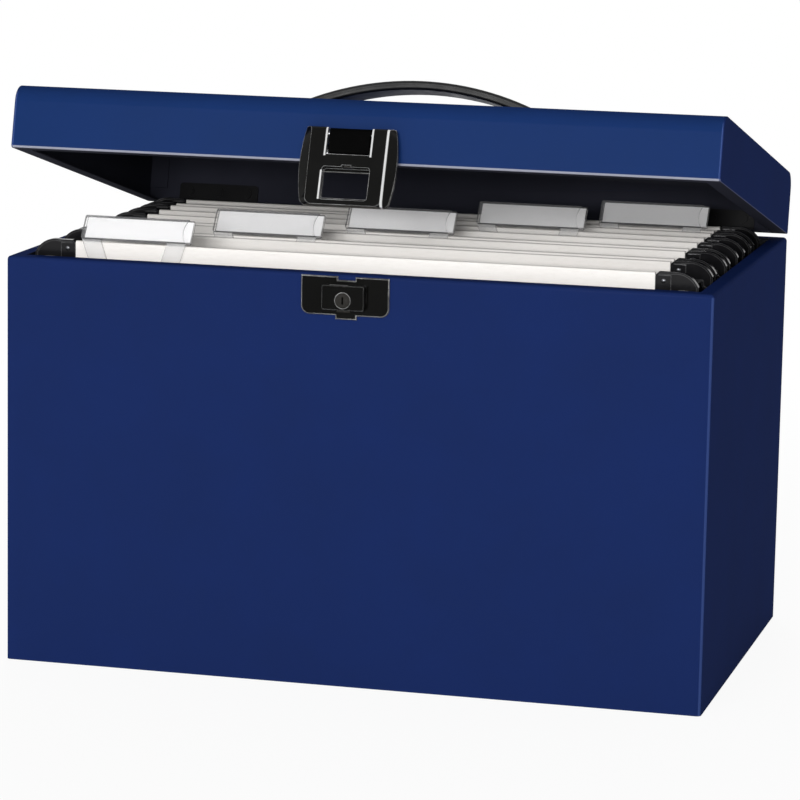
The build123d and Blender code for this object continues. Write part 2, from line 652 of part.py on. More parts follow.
with BuildPart() as lock_clip:
    with BuildSketch(latch_sketch(-GROOVE_BACK + (CLIP_GROOVE[2] - LOCK_CLIP_T) / 2)):
        with Locations((0, LOCK_Z)):
            Circle(LOCK_CLIP_R)
            Circle(PLUG_SHAFT_R - CLIP_GROOVE[0], mode=Mode.SUBTRACT)
        with Locations((0, LOCK_Z - LOCK_CLIP_R)):
            Rectangle(LOCK_CLIP_GAP, 2 * LOCK_CLIP_R, mode=Mode.SUBTRACT)
    extrude(amount=LOCK_CLIP_T)
save(lock_clip.part, "lock_clip")

CATCH_TOP = BLOCK_TOP - BLOCK_WALL - CATCH_DOWN
CATCH_LOW = BLOCK_LOW + BLOCK_WALL + CATCH_FLOOR
with BuildPart() as spring_catch:
    with BuildSketch(latch_sketch(CATCH_DEPTH)):
        with Locations((0, (CATCH_TOP + CATCH_LOW) / 2)):
            Rectangle(CATCH_W, CATCH_TOP - CATCH_LOW)
        with Locations((0, (CATCH_LOW + NOSE_LOW) / 2 + CATCH_FLOOR)):
            Rectangle(NOSE_W, CATCH_LOW - NOSE_LOW + 2 * CATCH_FLOOR)
        with Locations((0, LOCK_Z - CATCH_TRAVEL / 2)):
            slot_w = 2 * (PLUG_SHAFT_R + NOSE_AIR)
            SlotOverall(slot_w + CATCH_TRAVEL, slot_w, rotation=90, mode=Mode.SUBTRACT)
    extrude(amount=CATCH_T)
save(spring_catch.part, "spring_catch")

SPRING_TOP = BLOCK_TOP - BLOCK_WALL - SPRING_AIR
SPRING_LOW = CATCH_TOP + SPRING_AIR
SPRING_IN = SPRING_HALF - SPRING_FOOT
with BuildPart() as catch_spring:
    with BuildSketch(latch_sketch(CATCH_DEPTH + 2 * SPRING_AIR)):
        with BuildLine():
            ThreePointArc((-SPRING_HALF, SPRING_TOP), (0, SPRING_LOW), (SPRING_HALF, SPRING_TOP))
            Line((SPRING_HALF, SPRING_TOP), (SPRING_IN, SPRING_TOP))
            ThreePointArc((SPRING_IN, SPRING_TOP), (0, SPRING_LOW + SPRING_T), (-SPRING_IN, SPRING_TOP))
            Line((-SPRING_IN, SPRING_TOP), (-SPRING_HALF, SPRING_TOP))
        make_face()
    extrude(amount=CATCH_T - 4 * SPRING_AIR)
save(catch_spring.part, "catch_spring")


# ---- Handle --------------------------------------------------------------------------------------------
def grip_arc(drop):
    """Left end, middle and right end of the arc that runs drop below the arch's upper face."""
    half = GRIP_HALF - drop * GRIP_NARROW
    return (
        (-half, LID_TOP + GRIP_SHOULDER - drop),
        (0, LID_TOP + GRIP_RISE - drop),
        (half, LID_TOP + GRIP_SHOULDER - drop),
    )


def grip_outline():
    """The handle's side view: a shallow arch running out into two flat feet."""
    top = grip_arc(0)
    low = grip_arc(GRIP_T)
    with BuildSketch(mode=Mode.PRIVATE) as outline:
        with BuildLine():
            ThreePointArc(*top)
            Polyline(
                top[2],
                (FOOT_STEP, LID_TOP + FOOT_H),
                (FOOT_OUT, LID_TOP + FOOT_H),
                (FOOT_OUT, LID_TOP),
                (FOOT_IN, LID_TOP),
                low[2],
            )
            ThreePointArc(*low)
            Polyline(
                low[0],
                (-FOOT_IN, LID_TOP),
                (-FOOT_OUT, LID_TOP),
                (-FOOT_OUT, LID_TOP + FOOT_H),
                (-FOOT_STEP, LID_TOP + FOOT_H),
                top[0],
            )
        make_face()
        corners = outline.vertices().sort_by(lambda corner: abs(corner.X))
        fillet(corners[:4], SHOULDER_R)
        steps = outline.vertices().filter_by(lambda corner: abs(abs(corner.X) - FOOT_STEP) < SHEET)
        fillet(steps, STEP_R)
    return outline.sketch


def seam_outline():
    """The band of the side seam, following the arch, for use inside a sketch."""
    upper = grip_arc(SEAM_DROP)
    lower = grip_arc(SEAM_DROP + SEAM_H)
    with BuildSketch(mode=Mode.PRIVATE) as outline:
        with BuildLine():
            ThreePointArc(*upper)
            Line(upper[2], lower[2])
            ThreePointArc(*lower)
            Line(lower[0], upper[0])
        make_face()
    return outline.sketch


def handle_plane(y):
    """A vertical plane along the lid at y, with its origin at the handle's middle."""
    return Plane(origin=(HANDLE_X, y, 0), x_dir=(1, 0, 0), z_dir=(0, -1, 0))


with BuildPart() as handle_grip:
    with BuildSketch(handle_plane(0)):
        add(grip_outline())
    extrude(amount=GRIP_W / 2, both=True)
    fillet(handle_grip.faces().filter_by(Axis.Y).edges().filter_by(GeomType.CIRCLE), GRIP_EDGE_R)
    with BuildSketch(handle_plane(-GRIP_W / 2 + SEAM_DEPTH)):
        add(seam_outline())
    extrude(amount=SEAM_DEPTH, mode=Mode.SUBTRACT)
    with BuildSketch(handle_plane(GRIP_W / 2)):
        add(seam_outline())
    extrude(amount=SEAM_DEPTH, mode=Mode.SUBTRACT)
    with Locations(*[(x, y, LID_TOP) for x, y in SCREW_PLACES]):
        Cylinder(SCREW_HOLE_R, ABOVE, mode=Mode.SUBTRACT)
save_on_lid(handle_grip.part, "handle_grip")

with BuildPart() as handle_screws:
    with BuildSketch(Plane.XY.offset(LID_TOP + FOOT_H)):
        with Locations(*SCREW_PLACES):
            Circle(SCREW_HEAD_R)
    extrude(amount=SCREW_HEAD_H)
    with BuildSketch(Plane.XY.offset(LID_TOP + FOOT_H)):
        with Locations(*SCREW_PLACES):
            Circle(SCREW_R)
    extrude(amount=-(FOOT_H + SHEET + WASHER_T + NUT_T + SCREW_END))
    fillet(handle_screws.edges().filter_by(GeomType.CIRCLE).group_by(Axis.Z)[-1], SCREW_DOME_R)
    with BuildSketch(Plane.XY.offset(LID_TOP + FOOT_H + CROSS[2])):
        with Locations(*SCREW_PLACES):
            Rectangle(CROSS[0], CROSS[1])
            Rectangle(CROSS[1], CROSS[0])
    extrude(amount=ABOVE, mode=Mode.SUBTRACT)
save_on_lid(handle_screws.part, "handle_screws")

with BuildPart() as handle_washers:
    with BuildSketch(Plane.XY.offset(LID_TOP - SHEET)):
        with Locations(*SCREW_PLACES):
            Circle(WASHER_R)
            Circle(SCREW_HOLE_R, mode=Mode.SUBTRACT)
    extrude(amount=-WASHER_T)
save_on_lid(handle_washers.part, "handle_washers")

with BuildPart() as handle_nuts:
    with BuildSketch(Plane.XY.offset(LID_TOP - SHEET - WASHER_T)):
        with Locations(*SCREW_PLACES):
            RegularPolygon(NUT_R, 6)
            Circle(SCREW_R, mode=Mode.SUBTRACT)
    extrude(amount=-NUT_T)
save_on_lid(handle_nuts.part, "handle_nuts")


# ---- Suspension files ------------------------------------------------------------------------------------
def folder(front_y, rear_y):
    """One sheet of board: a hem round each bar and a V-shaped pocket down to the bottom fold."""
    middle = (front_y + rear_y) / 2
    hem_low = PAPER_TOP - HEM_H
    with BuildPart() as sheet:
        with BuildSketch(Plane.YZ):
            for bar_y in (front_y, rear_y):
                with Locations((bar_y, PAPER_TOP - HEM_H / 2)):
                    RectangleRounded(HEM_T, HEM_H, HEM_R)
                with Locations((bar_y, BAR_Z)):
                    Rectangle(BAR_T + BAR_AIR, BAR_H + BAR_AIR, mode=Mode.SUBTRACT)
            for bar_y in (front_y, rear_y):
                toward = 1 if bar_y < middle else -1
                with BuildLine():
                    Polyline(
                        (bar_y - toward * PAPER_T / 2, hem_low + PAPER_T),
                        (middle - toward * PAPER_T, FOLD_Z),
                        (middle + toward * PAPER_T, FOLD_Z),
                        (bar_y + toward * PAPER_T / 2, hem_low + PAPER_T),
                        close=True,
                    )
                make_face()
        extrude(amount=PAPER_W / 2, both=True)
    return sheet.part


def bars(front_y, rear_y):
    """The two steel strips that the folder hangs from."""
    with BuildPart() as pair:
        with Locations((0, front_y, BAR_Z), (0, rear_y, BAR_Z)):
            Box(2 * BAR_HALF, BAR_T, BAR_H)
    return pair.part


def hook_outline(side):
    """One moulded hook end in side view: a plate, an arched shoulder and a rounded tip outside the rail."""
    tip_in = HOOK_OUT - TIP_W
    arch_start = (side * (HOOK_IN + HOOK_FLAT), HOOK_TOP)
    arch_end = (side * HOOK_OUT, HOOK_TOP - HOOK_SHOULDER)
    tip_out_low = (side * HOOK_OUT, TIP_Z + TIP_W / 2)
    tip_in_low = (side * tip_in, TIP_Z + TIP_W / 2)
    with BuildSketch(mode=Mode.PRIVATE) as outline:
        with BuildLine():
            Polyline(
                (side * HOOK_IN, HOOK_LOW),
                (side * HOOK_IN, HOOK_TOP - HOOK_BEVEL),
                (side * (HOOK_IN + HOOK_BEVEL), HOOK_TOP),
                arch_start,
            )
            ThreePointArc(arch_start, (side * (HOOK_OUT - HOOK_ARCH[0]), HOOK_TOP - HOOK_ARCH[1]), arch_end)
            Line(arch_end, tip_out_low)
            ThreePointArc(tip_out_low, (side * (HOOK_OUT - TIP_W / 2), TIP_Z), tip_in_low)
            Polyline(
                tip_in_low,
                (side * tip_in, NOTCH_TOP),
                (side * NOTCH_IN, NOTCH_TOP),
                (side * NOTCH_IN, HOOK_LOW),
                (side * HOOK_IN, HOOK_LOW),
            )
        make_face()
    return outline.sketch


def hook_pair():
    """Both moulded ends of one bar at y = 0: a web with a raised rim and a boss round the bar's end."""
    boss_w = BAR_HALF + BOSS_OVER - HOOK_IN
    boss_low = BAR_Z - BAR_H / 2 - BOSS_OVER
    boss_top = HOOK_TOP - HOOK_BEVEL
    with BuildPart() as pair:
        for side in (-1, 1):
            with BuildSketch(Plane.XZ):
                add(hook_outline(side))
            extrude(amount=HOOK_WEB / 2, both=True)
            with BuildSketch(Plane.XZ):
                add(hook_outline(side))
                offset(amount=-HOOK_RIM, mode=Mode.SUBTRACT)
                with Locations((side * (HOOK_IN + boss_w / 2), (boss_low + boss_top) / 2)):
                    Rectangle(boss_w, boss_top - boss_low)
            extrude(amount=HOOK_T / 2, both=True)
        with Locations((0, 0, BAR_Z)):
            Box(2 * BAR_HALF, BAR_T, BAR_H, mode=Mode.SUBTRACT)
    return pair.part


HOOK_PAIR = hook_pair()


def hooks(front_y, rear_y):
    """The four moulded ends of a file's bars."""
    with BuildPart() as four:
        with Locations((0, front_y, 0), (0, rear_y, 0)):
            add(HOOK_PAIR)
    return four.part


def tab_plane(tab_x, bar_y):
    """The leaning face of a tab: local x runs along the bar, local y up the face."""
    lean = math.radians(TAB_LEAN)
    return Plane(
        origin=(tab_x, bar_y - TAB_FRONT, TAB_Z), x_dir=(1, 0, 0), z_dir=(0, -math.cos(lean), math.sin(lean))
    )


def tab(tab_x, bar_y):
    """A clear sleeve that leans back, on two legs that converge downwards before the hem."""
    face = tab_plane(tab_x, bar_y)
    with BuildPart() as sleeve:
        with BuildSketch(face):
            with Locations((0, TAB_L / 2)):
                RectangleRounded(TAB_W, TAB_L, TAB_R)
        extrude(amount=TAB_T / 2, both=True)
        with BuildSketch(face):
            with Locations((TAB_WALL, TAB_L / 2)):
                Rectangle(TAB_W - 2 * TAB_WALL, TAB_L - 2 * TAB_WALL)
        extrude(amount=TAB_SLOT / 2, both=True, mode=Mode.SUBTRACT)
        with BuildSketch(face):
            with Locations((TAB_W / 2 - TAB_NOTCH + TAB_NOTCH_R, TAB_L / 2)):
                Circle(TAB_NOTCH_R)
        extrude(amount=TAB_T, mode=Mode.SUBTRACT)
        with BuildSketch(face_plane(bar_y - TAB_FRONT)):
            for side in (-1, 1):
                outer = side * (TAB_W / 2 - LEG_INSET[side])
                with BuildLine():
                    Polyline(
                        (tab_x + outer, TAB_Z + LEG_RISE),
                        (tab_x + outer - side * LEG_W, TAB_Z + LEG_RISE),
                        (tab_x + outer - side * (LEG_W + LEG_SLANT), TAB_Z - LEG_DROP),
                        (tab_x + outer - side * LEG_SLANT, TAB_Z - LEG_DROP),
                        close=True,
                    )
                make_face()
        extrude(amount=-LEG_T)
    return sleeve.part


def insert(tab_x, bar_y):
    """The blank paper slip inside a tab."""
    with BuildPart() as slip:
        with BuildSketch(tab_plane(tab_x, bar_y)):
            with Locations((TAB_WALL, TAB_L / 2)):
                Rectangle(TAB_W - 4 * TAB_WALL, TAB_L - 3 * TAB_WALL)
        extrude(amount=INSERT_T / 2, both=True)
    return slip.part


for number, (front_y, rear_y, tab_x) in enumerate(FILES, 1):
    save(folder(front_y, rear_y), f"file_{number}_folder")
    save(bars(front_y, rear_y), f"file_{number}_bars")
    save(hooks(front_y, rear_y), f"file_{number}_hooks")
    save(tab(tab_x, front_y), f"file_{number}_tab")
    save(insert(tab_x, front_y), f"file_{number}_insert")
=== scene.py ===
"""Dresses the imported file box: procedural materials, small visual pieces, studio light and camera.

Lengths are in metres in the CAD frame, except where a name ends in _MM or _PX. Colours of three
numbers are sRGB, 0 to 255.
"""
import json
import math

import bmesh
import bpy
from mathutils import Matrix, Vector


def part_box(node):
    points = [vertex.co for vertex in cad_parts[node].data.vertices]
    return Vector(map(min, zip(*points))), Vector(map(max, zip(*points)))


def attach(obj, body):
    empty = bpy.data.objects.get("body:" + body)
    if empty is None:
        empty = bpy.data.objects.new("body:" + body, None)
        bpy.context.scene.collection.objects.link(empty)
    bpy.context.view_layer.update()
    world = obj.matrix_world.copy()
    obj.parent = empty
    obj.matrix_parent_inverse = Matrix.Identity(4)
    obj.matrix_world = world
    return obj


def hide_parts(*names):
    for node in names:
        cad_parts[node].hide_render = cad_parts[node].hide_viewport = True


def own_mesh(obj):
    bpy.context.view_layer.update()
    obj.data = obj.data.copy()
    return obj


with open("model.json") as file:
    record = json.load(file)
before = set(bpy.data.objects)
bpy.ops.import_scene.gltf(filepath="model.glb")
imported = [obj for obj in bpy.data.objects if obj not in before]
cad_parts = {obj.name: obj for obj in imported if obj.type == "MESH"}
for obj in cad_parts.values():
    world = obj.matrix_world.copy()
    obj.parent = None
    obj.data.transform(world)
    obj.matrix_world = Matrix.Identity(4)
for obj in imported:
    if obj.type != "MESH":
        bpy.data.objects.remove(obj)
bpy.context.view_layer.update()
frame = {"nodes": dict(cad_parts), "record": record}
NODES = frame["nodes"]

MM = 0.001
LID_ANGLE = math.radians(13.5)
BODY_MIDDLE = (0.0, 0.0, 0.105)
HINGE = Vector((0.0, 0.1172, 0.2114))
LID_MIDDLE_SHUT = Vector((0.0, 0.0, 0.2284))
LID_MIDDLE = HINGE + Matrix.Rotation(-LID_ANGLE, 3, "X") @ (LID_MIDDLE_SHUT - HINGE)


# ---- Material building blocks ------------------------------------------------------------
BEVEL_SAMPLES = 6
EDGE_START = 0.985         # how alike the rounded and the plain normal are where an edge starts
EDGE_FULL = 0.93           # and where it is full


def srgb(red, green, blue):
    """An sRGB colour, 0 to 255, as the linear colour that shaders take."""
    def linear(value):
        value /= 255.0
        return value / 12.92 if value <= 0.04045 else ((value + 0.055) / 1.055) ** 2.4
    return (linear(red), linear(green), linear(blue), 1.0)


class Shader:
    """A principled material with short calls for the nodes that this scene uses."""

    def __init__(self, name, **sockets):
        self.material = bpy.data.materials.new(name)
        self.material.use_nodes = True
        self.nodes = self.material.node_tree.nodes
        self.links = self.material.node_tree.links
        self.bsdf = self.nodes["Principled BSDF"]
        self.coords = self.add("ShaderNodeTexCoord")
        for socket, value in sockets.items():
            self.bsdf.inputs[socket.replace("_", " ")].default_value = value

    def add(self, kind, **settings):
        node = self.nodes.new(kind)
        for key, value in settings.items():
            setattr(node, key, value)
        return node

    def wire(self, output, target):
        self.links.new(output, target)

    def math(self, operation, first, second=None):
        node = self.add("ShaderNodeMath", operation=operation)
        for socket, value in zip(node.inputs, (first, second)):
            if isinstance(value, (int, float)):
                socket.default_value = value
            elif value is not None:
                self.wire(value, socket)
        return node.outputs[0]

    def noise(self, scale, detail=3.0, roughness=0.5, stretch=(1.0, 1.0, 1.0)):
        mapping = self.add("ShaderNodeMapping")
        mapping.inputs["Scale"].default_value = stretch
        self.wire(self.coords.outputs["Object"], mapping.inputs["Vector"])
        node = self.add("ShaderNodeTexNoise")
        node.inputs["Scale"].default_value = scale
        node.inputs["Detail"].default_value = detail
        node.inputs["Roughness"].default_value = roughness
        self.wire(mapping.outputs["Vector"], node.inputs["Vector"])
        return node.outputs["Fac"]

    def spread(self, value, low, high, out_low=0.0, out_high=1.0):
        node = self.add("ShaderNodeMapRange")
        limits = {"From Min": low, "From Max": high, "To Min": out_low, "To Max": out_high}
        for socket, number in limits.items():
            node.inputs[socket].default_value = number
        self.wire(value, node.inputs["Value"])
        return node.outputs["Result"]

    def mix(self, factor, first, second):
        node = self.add("ShaderNodeMix", data_type="RGBA")
        sockets = (node.inputs[0], node.inputs[6], node.inputs[7])
        for socket, value in zip(sockets, (factor, first, second)):
            if isinstance(value, (tuple, float)):
                socket.default_value = value
            else:
                self.wire(value, socket)
        return node.outputs[2]

    def blend(self, factor, first, second):
        node = self.add("ShaderNodeMix", data_type="FLOAT")
        sockets = (node.inputs[0], node.inputs[2], node.inputs[3])
        for socket, value in zip(sockets, (factor, first, second)):
            if isinstance(value, float):
                socket.default_value = value
            else:
                self.wire(value, socket)
        return node.outputs[0]

    def bump(self, *layers, edge=0.0):
        """Stack bump layers of (height, strength, distance) over edges that look rounded by edge."""
        previous = None
        if edge > 0.0:
            rounded = self.add("ShaderNodeBevel", samples=BEVEL_SAMPLES)
            rounded.inputs["Radius"].default_value = edge
            previous = rounded.outputs["Normal"]
        for height, strength, distance in layers:
            node = self.add("ShaderNodeBump")
            node.inputs["Strength"].default_value = strength
            node.inputs["Distance"].default_value = distance
            self.wire(height, node.inputs["Height"])
            if previous is not None:
                self.wire(previous, node.inputs["Normal"])
            previous = node.outputs["Normal"]
        self.wire(previous, self.bsdf.inputs["Normal"])

    def colour(self, value):
        self.wire(value, self.bsdf.inputs["Base Color"])

    def roughness(self, value):
        self.wire(value, self.bsdf.inputs["Roughness"])

    def facing(self, direction):
        """How much a surface faces a direction: 1 squarely towards it, 0 edge on, -1 away."""
        product = self.add("ShaderNodeVectorMath", operation="DOT_PRODUCT")
        product.inputs[1].default_value = direction
        self.wire(self.coords.outputs["Normal"], product.inputs[0])
        return product.outputs["Value"]

    def edge(self, radius):
        """0 on flat faces, rising to 1 within radius of a sharp edge."""
        rounded = self.add("ShaderNodeBevel", samples=BEVEL_SAMPLES)
        rounded.inputs["Radius"].default_value = radius
        plain = self.add("ShaderNodeNewGeometry")
        product = self.add("ShaderNodeVectorMath", operation="DOT_PRODUCT")
        self.wire(rounded.outputs["Normal"], product.inputs[0])
        self.wire(plain.outputs["Normal"], product.inputs[1])
        return self.spread(product.outputs["Value"], EDGE_START, EDGE_FULL)

    def facing_out(self, middle):
        """1 on surfaces that face away from a hollow shell's middle, 0 on its inside."""
        offset = self.add("ShaderNodeVectorMath", operation="SUBTRACT")
        offset.inputs[1].default_value = middle
        self.wire(self.coords.outputs["Object"], offset.inputs[0])
        product = self.add("ShaderNodeVectorMath", operation="DOT_PRODUCT")
        self.wire(offset.outputs["Vector"], product.inputs[0])
        self.wire(self.coords.outputs["Normal"], product.inputs[1])
        return self.math("GREATER_THAN", product.outputs["Value"], 0.0)


# ---- Materials ------------------------------------------------------------------------------
# Painted highlight: a light blue line round the body's right front bend and along the lid's front
# edges.
CORNER_WAY = (math.sqrt(0.5), -math.sqrt(0.5), 0.0)
CORNER_HIGHLIGHT_BLUE = (78, 100, 160)
BEND_SHARE = 0.35                 # how much of the painted corner highlight a bent corner takes
CORNER_SHARE = 0.85               # and a sharp one
CORNER_WIDTH = 0.7 * MM
PAINT_ROUNDING = 0.4 * MM
LID_FRONT = (0.0, -math.cos(LID_ANGLE), math.sin(LID_ANGLE))
FOLD_HIGHLIGHT_GREY = (150, 152, 166)       # painted highlight along the folded low edges
INSIDE_DARK = (44, 45, 54)
INSIDE_LIGHT = (50, 51, 61)
FOLD_START = 0.12                 # how far a fold faces down where its painted highlight line starts,
FOLD_FULL = 0.3                   # is full,
FOLD_FADE = 0.8                   # fades,
FOLD_END = 0.95                   # and the dark underside starts


def paint(name, colour, middle, upright, highlight_share, bent):
    """Stoved blue enamel, near black inside and underneath, with a painted highlight line along its low
    folds.

    A bent shell gets a faint painted highlight round its right front bend, and any other piece along
    the edges of its front.
    """
    shader = Shader(name, Specular_IOR_Level=0.0, Coat_Weight=0.012, Coat_Roughness=0.18)
    mottle = shader.noise(22.0, 4.0, 0.6)
    fine = shader.noise(900.0, 2.0, 0.5)
    peel = shader.noise(420.0, 1.0, 0.4)
    red, green, blue = colour
    outside = shader.mix(
        shader.spread(mottle, 0.3, 0.7), srgb(red, green, blue - 2), srgb(red, green + 1, blue + 2)
    )
    inside = shader.mix(shader.spread(mottle, 0.3, 0.7), srgb(*INSIDE_DARK), srgb(*INSIDE_LIGHT))
    # Painted highlight: light blue round the right front bend, or along the edges of the front.
    if bent:
        corner_highlight = shader.spread(shader.facing(CORNER_WAY), 0.9, 0.97, 0.0, BEND_SHARE)
    else:
        front = shader.spread(shader.facing(LID_FRONT), 0.8, 0.95, 0.0, CORNER_SHARE)
        corner_highlight = shader.math("MULTIPLY", shader.edge(CORNER_WIDTH), front)
    outside = shader.mix(corner_highlight, outside, srgb(*CORNER_HIGHLIGHT_BLUE))
    # Painted highlight: a pale grey line along the low folds that face down.
    down = shader.facing(-upright)
    fold_highlight = shader.math("MULTIPLY", shader.spread(down, FOLD_START, FOLD_FULL), highlight_share)
    fold_highlighted = shader.mix(fold_highlight, outside, srgb(*FOLD_HIGHLIGHT_GREY))
    under = shader.mix(shader.spread(down, FOLD_FADE, FOLD_END), fold_highlighted, inside)
    out = shader.facing_out(middle)
    shader.colour(shader.mix(out, inside, under))
    worn = shader.spread(shader.noise(60.0, 5.0, 0.6), 0.35, 0.75, 0.24, 0.32)
    shader.roughness(shader.blend(out, 0.35, worn))
    shader.bump((peel, 0.05, 0.00008), (fine, 0.03, 0.00002), edge=PAINT_ROUNDING)
    return shader.material


TONE_STEP = 2                     # how far a plastic's colour drifts either way


def drifting(shader, colour):
    """A plastic's colour, slightly lighter and darker in soft patches."""
    low = tuple(max(value - TONE_STEP, 0) for value in colour)
    high = tuple(value + TONE_STEP for value in colour)
    return shader.mix(shader.spread(shader.noise(45.0), 0.3, 0.7), srgb(*low), srgb(*high))


def smudged(shader, rough):
    """A gloss that varies a little round rough, as on handled plastic."""
    smudges = shader.noise(120.0, 4.0, 0.6)
    shader.roughness(shader.spread(smudges, 0.3, 0.7, rough - 0.05, rough + 0.07))


def plastic(name, colour, rough, grain_scale, grain_depth, specular):
    """Moulded plastic with a fine spark texture and slight gloss variation."""
    shader = Shader(name, Specular_IOR_Level=specular)
    shader.colour(drifting(shader, colour))
    smudged(shader, rough)
    shader.bump((shader.noise(grain_scale, 2.0), 0.25, grain_depth))
    return shader.material


def lacquer(name, colour, highlight_colour, rough, specular, radius, highlight_share, highlight_lines=()):
    """Glossy black with painted highlights: pale metallic along its edges and in upright lines.

    Each line is (x, half width, low z, high z).
    """
    shader = Shader(name, Specular_IOR_Level=specular)
    # Painted highlights: a patchy pale metallic colour along the edges, and on each upright line.
    patchy = shader.spread(shader.noise(150.0, 2.0), 0.35, 0.65, 0.35, 1.0)
    edges = shader.math("MULTIPLY", shader.edge(radius), patchy)
    bright = shader.math("MULTIPLY", edges, highlight_share)
    for place, half_width, low_end, high_end in highlight_lines:
        apart = shader.add("ShaderNodeSeparateXYZ")
        shader.wire(shader.coords.outputs["Object"], apart.inputs[0])
        offset = shader.math("ABSOLUTE", shader.math("SUBTRACT", apart.outputs["X"], place))
        across = shader.spread(offset, half_width, 0.5 * half_width)
        above = shader.math("GREATER_THAN", apart.outputs["Z"], low_end)
        below = shader.math("LESS_THAN", apart.outputs["Z"], high_end)
        along = shader.math("MULTIPLY", above, below)
        bright = shader.math("MAXIMUM", bright, shader.math("MULTIPLY", across, along))
    shader.colour(shader.mix(bright, drifting(shader, colour), srgb(*highlight_colour)))
    shader.wire(bright, shader.bsdf.inputs["Metallic"])
    smudged(shader, rough)
    shader.bump((shader.noise(900.0, 2.0), 0.2, 0.00002))
    return shader.material


def metal(name, colour, rough, stretch):
    """Plated steel with drawn lines along one direction."""
    shader = Shader(name, Metallic=1.0)
    lines = shader.noise(500.0, 3.0, 0.6, stretch)
    cloud = shader.noise(40.0, 4.0, 0.6)
    high = tuple(min(value + 16, 255) for value in colour)
    shader.colour(shader.mix(shader.spread(cloud, 0.3, 0.7), srgb(*colour), srgb(*high)))
    shader.roughness(shader.spread(lines, 0.3, 0.7, rough - 0.07, rough + 0.08))
    shader.bump((lines, 0.12, 0.00003))
    return shader.material


BOARD_DARK = (246, 242, 238)
BOARD_LIGHT = (250, 247, 243)
BOARD_FIBRE = (232, 228, 221)
BOARD_FLECK = (214, 206, 196)


def board():
    """Off-white manila board: long fibres, flecks and a soft tooth."""
    shader = Shader("folder_board", Specular_IOR_Level=0.2)
    fibres = shader.noise(900.0, 4.0, 0.65, (0.18, 1.0, 1.0))
    cloud = shader.noise(14.0, 3.0, 0.5)
    fleck = shader.noise(1400.0, 2.0, 0.5)
    base = shader.mix(shader.spread(cloud, 0.3, 0.7), srgb(*BOARD_DARK), srgb(*BOARD_LIGHT))
    fibred = shader.mix(shader.spread(fibres, 0.45, 0.8, 0.0, 0.35), base, srgb(*BOARD_FIBRE))
    flecked = shader.spread(fleck, 0.66, 0.78, 0.0, 0.3)
    shader.colour(shader.mix(flecked, fibred, srgb(*BOARD_FLECK)))
    shader.roughness(shader.spread(fibres, 0.3, 0.7, 0.72, 0.86))
    shader.bump((fibres, 0.22, 0.00006), (cloud, 0.15, 0.0004))
    return shader.material


SLIP_DARK = (248, 247, 248)
SLIP_LIGHT = (252, 252, 252)


def slip():
    """Bright white paper slip."""
    shader = Shader("slip_paper", Specular_IOR_Level=0.2)
    fibres = shader.noise(1100.0, 4.0, 0.6)
    shader.colour(shader.mix(shader.spread(fibres, 0.3, 0.75), srgb(*SLIP_DARK), srgb(*SLIP_LIGHT)))
    shader.roughness(shader.spread(fibres, 0.3, 0.7, 0.6, 0.72))
    shader.bump((fibres, 0.1, 0.00003))
    return shader.material


FILM_DARK = (240, 240, 241)
FILM_LIGHT = (249, 249, 250)
FILM_CUT = (92, 94, 99)
FILM_SQUARE = 0.97                # how squarely a face looks along a normal to count as broad
FACE_ALPHA = 0.10
LEG_ALPHA = 0.25
CUT_ALPHA = 0.8


def clear(name, lean):
    """Clear rigid film, smoky grey along its cut edges.

    Its broad faces are the window, which leans back, and the upright legs.
    """
    shader = Shader(name, Roughness=0.06, IOR=1.45, Specular_IOR_Level=0.5)
    scuff = shader.noise(260.0, 3.0, 0.6)
    window, leg = (
        shader.math("ABSOLUTE", shader.facing(normal))
        for normal in ((0.0, -math.cos(lean), math.sin(lean)), (0.0, -1.0, 0.0))
    )
    flat = shader.math("GREATER_THAN", shader.math("MAXIMUM", window, leg), FILM_SQUARE)
    tint = shader.mix(shader.spread(scuff, 0.3, 0.7), srgb(*FILM_DARK), srgb(*FILM_LIGHT))
    shader.colour(shader.mix(flat, srgb(*FILM_CUT), tint))
    legs = shader.math("GREATER_THAN", leg, FILM_SQUARE)
    alpha = shader.blend(legs, shader.blend(flat, CUT_ALPHA, FACE_ALPHA), LEG_ALPHA)
    shader.wire(alpha, shader.bsdf.inputs["Alpha"])
    shader.roughness(shader.spread(scuff, 0.3, 0.7, 0.05, 0.12))
    shader.bump((scuff, 0.05, 0.00003))
    return shader.material


# The lid's wrap takes a lighter copy of the body's blue, as painted light for its brighter,
# upward-tilted front.
BODY_BLUE = (25, 40, 87)
LIT_LID_BLUE = (24, 47, 96)
UP = Vector((0.0, 0.0, 1.0))
LID_UP = Vector((0.0, math.sin(LID_ANGLE), math.cos(LID_ANGLE)))
TAB_LEAN = math.radians(36.0)
MATERIALS = {
    "blue_paint": paint("blue_paint", BODY_BLUE, BODY_MIDDLE, UP, 0.6, True),
    "lid_paint": paint("lid_paint", LIT_LID_BLUE, LID_MIDDLE, LID_UP, 1.0, False),
    "zinc_plate": metal("zinc_plate", (52, 53, 56), 0.4, (1.0, 0.05, 1.0)),
    "hinge_black": plastic("hinge_black", (16, 16, 18), 0.34, 900.0, 0.00004, 0.1),
    "rivet_steel": metal("rivet_steel", (176, 177, 180), 0.28, (1.0, 1.0, 1.0)),
    "handle_black": plastic("handle_black", (14, 14, 15), 0.36, 1200.0, 0.00005, 0.22),
    # latch_black and hook_plastic carry painted highlights along their edges.
    "latch_black": lacquer("latch_black", (5, 5, 4), (225, 225, 225), 0.14, 0.08, 0.6 * MM, 1.0),
    "lock_steel": metal("lock_steel", (40, 39, 37), 0.2, (1.0, 1.0, 1.0)),
    "board": board(),
    "bar_steel": metal("bar_steel", (168, 169, 172), 0.3, (0.05, 1.0, 1.0)),
    "hook_plastic": lacquer("hook_plastic", (20, 20, 22), (140, 140, 142), 0.18, 0.2, 0.5 * MM, 0.6),
    "clear_plastic": clear("clear_plastic", TAB_LEAN),
    "slip_paper": slip(),
}
